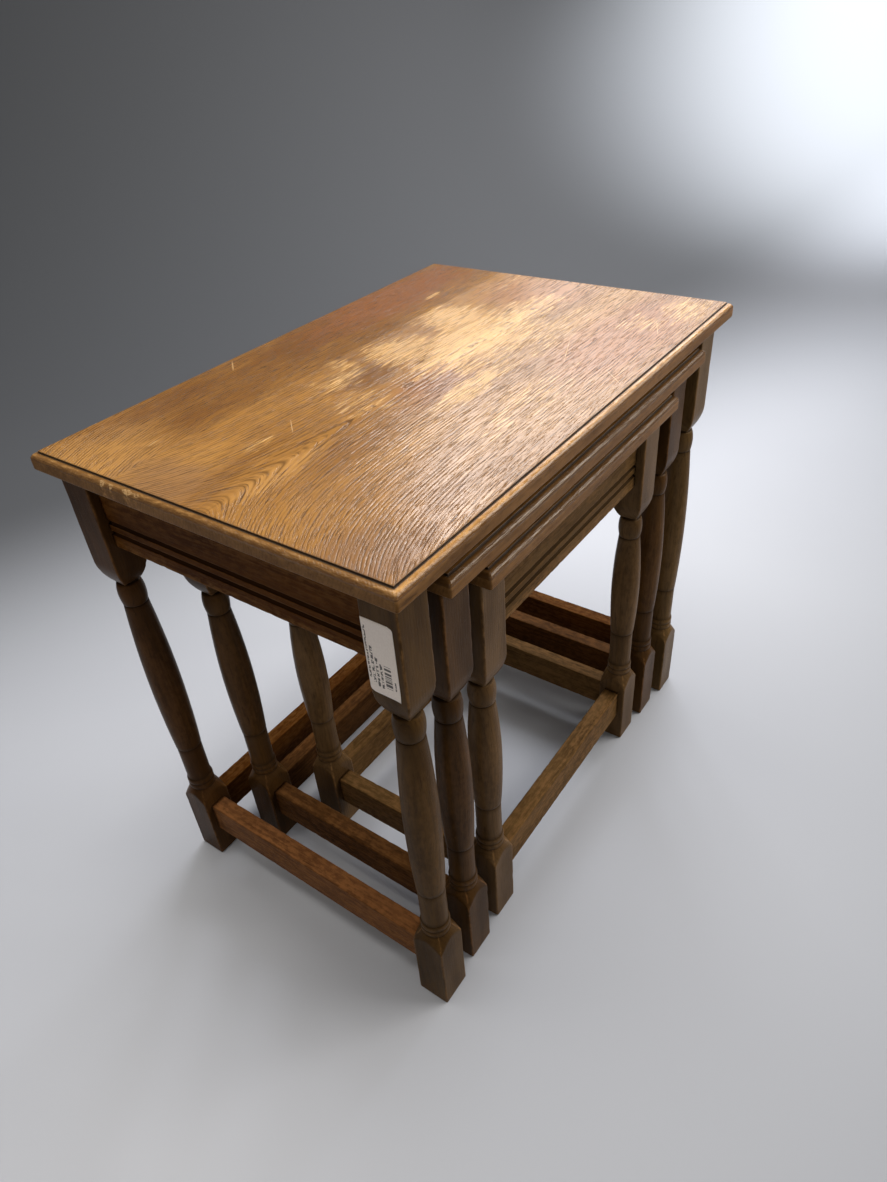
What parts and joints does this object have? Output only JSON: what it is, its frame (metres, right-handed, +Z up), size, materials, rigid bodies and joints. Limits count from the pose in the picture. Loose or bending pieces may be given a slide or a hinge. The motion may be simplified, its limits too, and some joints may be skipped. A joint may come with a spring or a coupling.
{
  "type": "nesting tables",
  "caption": "Nesting tables in dark oak with moulded tops, turned legs, aprons and stretchers; the smaller tables slide out from under the larger one.",
  "frame": {"origin": "floor level under the middle of the large top", "axes": "+X along the long side of the tops, +Y towards the back, so the smaller tables pull out along -Y, +Z up"},
  "size_m": [0.53, 0.355, 0.485],
  "materials": {
    "large_top_oak": "satin golden-brown oak with open grain, worn pale in the middle and at the far right",
    "medium_top_oak": "satin mid-brown oak with open grain",
    "small_top_oak": "satin mid-brown oak with open grain",
    "large_frame_oak": "satin dark-stained oak",
    "medium_frame_oak": "satin dark reddish-brown oak",
    "small_frame_oak": "satin dark-stained oak",
    "plain_oak": "bare sawn oak",
    "screw_steel": "dull slotted steel screws",
    "label_paper": "off-white paper sticker with plain grey bars"
  },
  "bodies": {
    "large_table": {"large_top": "large_top_oak", "large_leg_front_left": "large_frame_oak", "large_leg_front_right": "large_frame_oak", "large_leg_back_left": "large_frame_oak", "large_leg_back_right": "large_frame_oak", "large_apron_left": "large_frame_oak", "large_apron_right": "large_frame_oak", "large_apron_back": "large_frame_oak", "large_stretcher_left": "large_frame_oak", "large_stretcher_right": "large_frame_oak", "large_stretcher_back": "large_frame_oak", "large_glue_blocks": "plain_oak", "large_top_screws": "screw_steel", "price_label": "label_paper"},
    "medium_table": {"medium_top": "medium_top_oak", "medium_leg_front_left": "medium_frame_oak", "medium_leg_front_right": "medium_frame_oak", "medium_leg_back_left": "medium_frame_oak", "medium_leg_back_right": "medium_frame_oak", "medium_apron_left": "medium_frame_oak", "medium_apron_right": "medium_frame_oak", "medium_apron_back": "medium_frame_oak", "medium_stretcher_left": "medium_frame_oak", "medium_stretcher_right": "medium_frame_oak", "medium_stretcher_back": "medium_frame_oak", "medium_glue_blocks": "plain_oak", "medium_top_screws": "screw_steel"},
    "small_table": {"small_top": "small_top_oak", "small_leg_front_left": "small_frame_oak", "small_leg_front_right": "small_frame_oak", "small_leg_back_left": "small_frame_oak", "small_leg_back_right": "small_frame_oak", "small_apron_left": "small_frame_oak", "small_apron_right": "small_frame_oak", "small_apron_back": "small_frame_oak", "small_apron_front": "small_frame_oak", "small_stretcher_left": "small_frame_oak", "small_stretcher_right": "small_frame_oak", "small_stretcher_back": "small_frame_oak", "small_stretcher_front": "small_frame_oak", "small_glue_blocks": "plain_oak", "small_top_screws": "screw_steel"}
  },
  "joints": [
    {"name": "medium_slide", "type": "slide", "parent": "large_table", "child": "medium_table", "axis": [0, -1, 0], "range_m": [0, 0.34]},
    {"name": "small_slide", "type": "slide", "parent": "medium_table", "child": "small_table", "axis": [0, -1, 0], "range_m": [0, 0.29]}
  ]
}
